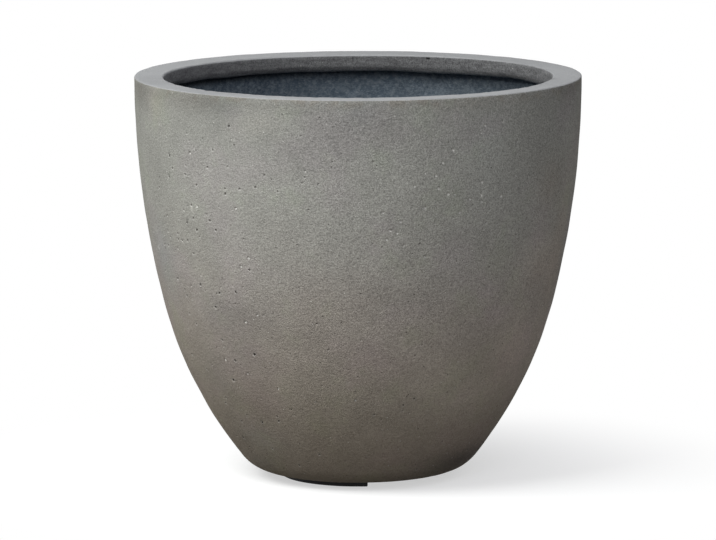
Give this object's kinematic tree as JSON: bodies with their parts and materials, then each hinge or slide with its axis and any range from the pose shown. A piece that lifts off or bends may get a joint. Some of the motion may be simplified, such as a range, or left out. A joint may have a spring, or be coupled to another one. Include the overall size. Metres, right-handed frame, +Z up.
{
  "type": "floor planter",
  "caption": "Round egg-shaped floor planter in grey cast fibre clay, with a flat rim, an inward lip, a dark fibre lining, a pull-out drain plug and low curved feet.",
  "frame": {"origin": "on the ground, at the centre of the ring of feet, under the middle of the pot", "axes": "+Z up along the pot's axis; the front of the pot faces -Y"},
  "size_m": [0.5, 0.4998, 0.452],
  "materials": {
    "cast_fibre_clay": "matt, finely sanded, with pinholes and cloudy patches",
    "fibre_laminate": "matt, coarse fibre mat under a dark blue-grey coat",
    "plug_rubber": "matt black rubber",
    "foot_rubber": "matt black rubber"
  },
  "bodies": {
    "pot": {"pot_shell": "cast_fibre_clay", "inner_lining": "fibre_laminate", "foot_front_left": "foot_rubber", "foot_back_right": "foot_rubber"},
    "plug": {"drain_plug": "plug_rubber"}
  },
  "joints": [
    {"name": "plug_pull", "type": "slide", "parent": "pot", "child": "plug", "axis": [0, 0, 1], "range_m": [0, 0.5]}
  ]
}
